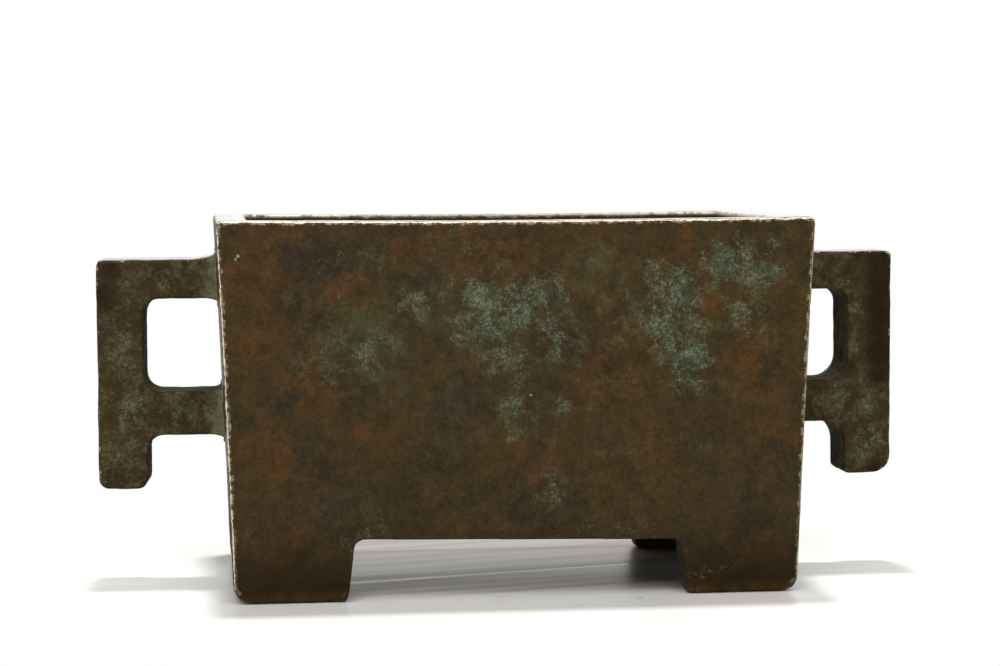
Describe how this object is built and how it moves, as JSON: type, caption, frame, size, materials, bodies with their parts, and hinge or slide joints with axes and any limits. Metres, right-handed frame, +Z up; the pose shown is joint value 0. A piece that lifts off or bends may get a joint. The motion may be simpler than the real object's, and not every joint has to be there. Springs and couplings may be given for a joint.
{
  "type": "rectangular incense burner",
  "caption": "Rectangular cast bronze incense burner with tapering walls, bracket feet and flat halberd-shaped handles riveted to its short sides.",
  "frame": {"origin": "on the standing surface, under the middle of the footprint", "axes": "+X across the two handles, towards the right one; +Y through the depth, away from the viewer; +Z up"},
  "size_m": [0.1685, 0.0742, 0.0765],
  "materials": {
    "body_bronze": "cast bronze, dark olive-brown patina with powdery green patches",
    "floor_bronze": "cast bronze, dull dark patina",
    "handle_bronze": "cast bronze, speckled olive-grey patina",
    "rivet_bronze": "hammered bronze, dark patina"
  },
  "bodies": {
    "root": {"vessel_body": "body_bronze", "base_plate": "floor_bronze", "left_handle": "handle_bronze", "right_handle": "handle_bronze", "left_upper_rivet": "rivet_bronze", "left_lower_rivet": "rivet_bronze", "right_upper_rivet": "rivet_bronze", "right_lower_rivet": "rivet_bronze"}
  },
  "joints": []
}
